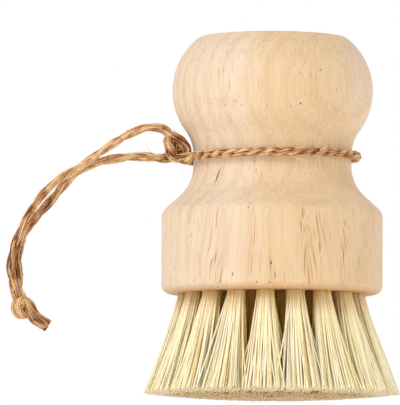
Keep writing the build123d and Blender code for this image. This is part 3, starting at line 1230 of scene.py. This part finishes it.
# How much shorter along the twine a hair gets as it curls, how high it curls, and how much of
# the curl starts at its root
HAIR_BEND = 0.25
HAIR_CURL = 0.6
HAIR_CURL_START = 0.4
# How thick the thinnest and the thickest short hairs are, how thick the long ones are, which
# are drawn coarser than real ones to show, and how thick a hair is at its tip, as shares
HAIR_SIZE_SHARES = (0.8, 1.5)
LONG_HAIR_SHARE = 2.2
HAIR_TIP_SHARE = 0.5
LONG_HAIR_STEP = 0.7 * MM
HAIR_SHADES = (0.5, 1.0)
# A direction that no hair runs along
HAIR_ASIDE = (0.3, 0.8, 0.52)


def random_hair(course, twine, random):
    """One short hair: it leaves the twine's surface, mostly along it, and curls outwards."""
    at = random.integers(len(course.line))
    angle = np.full(len(course.line), random.uniform(0, 2 * math.pi))
    outward = course.direction(angle)[at]
    start = course.line[at] + outward * course.radius[at] * HAIR_ROOT_SHARE
    along = course.tangent[at] * random.choice((-1.0, 1.0))
    around = np.cross(along, outward) * random.normal(0, HAIR_SWERVE)
    length = twine.hair_length * random.gamma(HAIR_EVENNESS, 1 / HAIR_EVENNESS)
    curl = (outward * random.uniform(*HAIR_RISES) + around) * HAIR_CURL
    t = np.linspace(0, 1, HAIR_RINGS)[:, None]
    curled = HAIR_CURL_START * t + (1 - HAIR_CURL_START) * t * t
    return start + length * (along * t * (1 - HAIR_BEND * t) + curl * curled)


def add_hair(parts, line, thickness, random):
    """Adds one hair as a slim tube that tapers to its tip."""
    tangent = np.gradient(line, axis=0)
    tangent /= np.linalg.norm(tangent, axis=1)[:, None]
    side = np.cross(tangent, HAIR_ASIDE)
    side /= np.linalg.norm(side, axis=1)[:, None]
    taper = np.linspace(1.0, HAIR_TIP_SHARE, len(line))
    rings = tube(line, side, np.cross(tangent, side), thickness / 2 * taper, HAIR_SIDES)
    parts.add(rings, run=random.random(), shade=random.uniform(*HAIR_SHADES), proud=1.0)


class PALMBRUSH_OT_hairs(bpy.types.Operator):
    """Adds the loose hairs that stand out of the jute"""

    bl_idname = "palmbrush.hairs"
    bl_label = "Add loose hairs"

    def execute(self, context):
        twine = context.scene.palm_brush_twine
        random = np.random.default_rng(HAIR_SEED)
        parts = MeshParts()
        for course in twine_courses(twine):
            for _ in range(int(course.run[-1] / twine.hair_spacing)):
                hair = random_hair(course, twine, random)
                thickness = twine.hair_thickness * random.uniform(*HAIR_SIZE_SHARES)
                # None reaches into the wood of the waist
                if np.linalg.norm(hair[:, :2], axis=1).min() > TURN_RADIUS - twine.thickness / 2:
                    add_hair(parts, hair, thickness, random)
        for route in LONG_HAIR_ROUTES:
            line = even_steps(spline_points(route), LONG_HAIR_STEP)
            add_hair(parts, line, twine.hair_thickness * LONG_HAIR_SHARE, random)
        material = bpy.data.materials["jute_twisted"]
        place_mesh("twine_hairs", parts, "cord", material)
        return {"FINISHED"}


# The stage: floor, studio light and camera

# The lamps' side and places, in metres
LAMP_SIZE = 1.0
KEY_PLACE = (-0.9, -1.35, 1.3)
FILL_PLACE = (1.3, -0.9, 0.5)
# The colours of the floor's sheet and of the sky
SHEET_WHITE = linear("#F6F6F6")
SKY_WHITE = linear("#FFF6EC")
# How much of the light goes through the floor, and how much of it is seen as plain white
THROUGH_SHARE = 0.5
PLAIN_SHARE = 0.6
# The sky's light turns to that from below within this much of the horizon's level
HORIZON_BAND = 0.05
# How far the camera sees, in distances from what it aims at
SIGHT = 4


class PalmBrushStage(bpy.types.PropertyGroup):
    """Camera and light."""

    distance: FloatProperty(
        name="Distance", description="From the camera to what it aims at", unit="LENGTH",
        default=1.5,
    )
    elevation: FloatProperty(
        name="Elevation", description="The camera's height above the horizon",
        subtype="ANGLE", default=math.radians(-4.0),
    )
    roll: FloatProperty(
        name="Roll", description="The camera's turn about its line of sight",
        subtype="ANGLE", default=math.radians(0.25),
    )
    aim: FloatVectorProperty(
        name="Aim", description="The point that the camera looks at", subtype="XYZ",
        unit="LENGTH", default=(-0.017, 0.0, 0.0463),
    )
    lens: FloatProperty(
        name="Lens", description="Focal length of the camera", unit="CAMERA", default=566.7
    )
    floor_size: FloatProperty(
        name="Floor", description="Side of the floor", unit="LENGTH", default=12.0
    )
    key_light: FloatProperty(
        name="Key light", description="Power of the large lamp", unit="POWER", default=19.4
    )
    fill_light: FloatProperty(
        name="Fill light", description="Power of the lamp on the other side", unit="POWER",
        default=3.2,
    )
    sky: FloatProperty(
        name="Sky", description="Strength of the even light from above", default=0.5
    )
    under_light: FloatProperty(
        name="Under light", description="Strength of the even light from below the floor",
        default=1.7,
    )


def seen_directly(tree):
    """1 where the camera sees a thing, and 1 where the camera or a gloss does."""
    by_camera = add_node(tree, "ShaderNodeLightPath")
    by_gloss = by_camera.node.outputs["Is Glossy Ray"]
    either = add_node(tree, "ShaderNodeMath", (by_camera, by_gloss), operation="MAXIMUM")
    return by_camera, either


def white_acrylic():
    """Matt white acrylic that lets some light through, seen as white from above and not at
    all from below."""
    material, tree = new_material("white_acrylic")
    by_camera, seen = seen_directly(tree)
    face = add_node(tree, "ShaderNodeBsdfDiffuse", [opaque(SHEET_WHITE)])
    through = add_node(tree, "ShaderNodeBsdfTranslucent", [opaque(SHEET_WHITE)])
    surface = add_node(tree, "ShaderNodeMixShader", (THROUGH_SHARE, face, through))
    white = add_node(tree, "ShaderNodeEmission", {"Strength": 1.0})
    share = add_node(tree, "ShaderNodeMath", (seen, PLAIN_SHARE), operation="MULTIPLY")
    above = add_node(tree, "ShaderNodeMixShader", (share, surface, white))
    below = add_node(tree, "ShaderNodeNewGeometry", out="Backfacing")
    unseen = add_node(tree, "ShaderNodeMath", (below, by_camera), operation="MULTIPLY")
    clear = add_node(tree, "ShaderNodeBsdfTransparent")
    either = add_node(tree, "ShaderNodeMixShader", (unseen, above, clear))
    add_node(tree, "ShaderNodeOutputMaterial", [either])
    return material


def light_sky(above, below):
    """Even soft light, and plain white wherever the camera or a gloss sees past the floor."""
    world = bpy.data.worlds.new("studio")
    world.use_nodes = True
    tree = world.node_tree
    tree.nodes.clear()
    _, seen = seen_directly(tree)
    toward = add_node(tree, "ShaderNodeTexCoord", out="Generated")
    rise = add_node(tree, "ShaderNodeSeparateXYZ", [toward], out="Z")
    strength = add_node(
        tree, "ShaderNodeMapRange", (rise, -HORIZON_BAND, HORIZON_BAND, below, above)
    )
    even = add_node(tree, "ShaderNodeBackground", (opaque(SKY_WHITE), strength))
    white = add_node(tree, "ShaderNodeBackground", [opaque((1, 1, 1))])
    mixed = add_node(tree, "ShaderNodeMixShader", (seen, even, white))
    add_node(tree, "ShaderNodeOutputWorld", [mixed])
    bpy.context.scene.world = world


def add_lamp(name, place, power):
    """A soft square lamp that points at the waist of the handle."""
    lamp = bpy.data.lights.new(name, "AREA")
    lamp.size = LAMP_SIZE
    lamp.energy = power
    holder = bpy.data.objects.new(name, lamp)
    bpy.context.scene.collection.objects.link(holder)
    holder.location = place
    target = Vector((0.0, 0.0, TURN_HEIGHT))
    holder.rotation_euler = (target - Vector(place)).to_track_quat("-Z", "Y").to_euler()


class PALMBRUSH_OT_stage(bpy.types.Operator):
    """Sets the floor, the lamps and the camera"""

    bl_idname = "palmbrush.stage"
    bl_label = "Set stage"

    def execute(self, context):
        stage = context.scene.palm_brush_stage
        half = stage.floor_size / 2
        corners = [(-half, -half, 0.0), (half, -half, 0.0), (half, half, 0.0), (-half, half, 0.0)]
        mesh = bpy.data.meshes.new("floor")
        mesh.from_pydata(corners, [], [(0, 1, 2, 3)])
        mesh.materials.append(white_acrylic())
        floor = bpy.data.objects.new("floor", mesh)
        context.scene.collection.objects.link(floor)
        light_sky(stage.sky, stage.under_light)
        add_lamp("key_lamp", KEY_PLACE, stage.key_light)
        add_lamp("fill_lamp", FILL_PLACE, stage.fill_light)
        camera = bpy.data.cameras.new("camera")
        camera.lens = stage.lens
        camera.clip_end = SIGHT * stage.distance
        holder = bpy.data.objects.new("camera", camera)
        context.scene.collection.objects.link(holder)
        back = Vector((0.0, -math.cos(stage.elevation), math.sin(stage.elevation)))
        holder.location = Vector(stage.aim) + back * stage.distance
        view = (-back).to_track_quat("-Z", "Y").to_euler()
        view.rotate_axis("Z", stage.roll)
        holder.rotation_euler = view
        context.scene.camera = holder
        context.scene.view_settings.view_transform = "Standard"
        return {"FINISHED"}


# The panel and the run

SETTINGS = {
    "palm_brush_wood": PalmBrushWood,
    "palm_brush_steel": PalmBrushSteel,
    "palm_brush_tufts": PalmBrushTufts,
    "palm_brush_twine": PalmBrushTwine,
    "palm_brush_stage": PalmBrushStage,
}
OPERATORS = (
    PALMBRUSH_OT_stage,
    PALMBRUSH_OT_knots,
    PALMBRUSH_OT_tails,
    PALMBRUSH_OT_legs,
    PALMBRUSH_OT_neck_turn,
    PALMBRUSH_OT_hairs,
    PALMBRUSH_OT_handle,
    PALMBRUSH_OT_staples,
    PALMBRUSH_OT_tufts,
)


class PALMBRUSH_PT_panel(bpy.types.Panel):
    """Lists the brush's settings and steps"""

    bl_label = "Palm Brush"
    bl_idname = "PALMBRUSH_PT_panel"
    bl_space_type = "VIEW_3D"
    bl_region_type = "UI"
    bl_category = "Palm Brush"

    def draw(self, context):
        for name, group in SETTINGS.items():
            box = self.layout.box()
            for key in group.__annotations__:
                box.prop(getattr(context.scene, name), key)
        for operator in OPERATORS:
            self.layout.operator(operator.bl_idname)


CLASSES = (*SETTINGS.values(), *OPERATORS, PALMBRUSH_PT_panel)


def register():
    for cls in CLASSES:
        bpy.utils.register_class(cls)
    for name, group in SETTINGS.items():
        setattr(bpy.types.Scene, name, PointerProperty(type=group))


def unregister():
    for name in SETTINGS:
        delattr(bpy.types.Scene, name)
    for cls in reversed(CLASSES):
        bpy.utils.unregister_class(cls)


def main():
    """Runs every step in order."""
    register()
    bpy.ops.palmbrush.stage()
    bpy.ops.palmbrush.knots()
    bpy.ops.palmbrush.tails()
    bpy.ops.palmbrush.legs()
    bpy.ops.palmbrush.neck_turn()
    bpy.ops.palmbrush.hairs()
    bpy.ops.palmbrush.handle()
    bpy.ops.palmbrush.staples()
    bpy.ops.palmbrush.tufts()


if __name__ == "__main__":
    main()
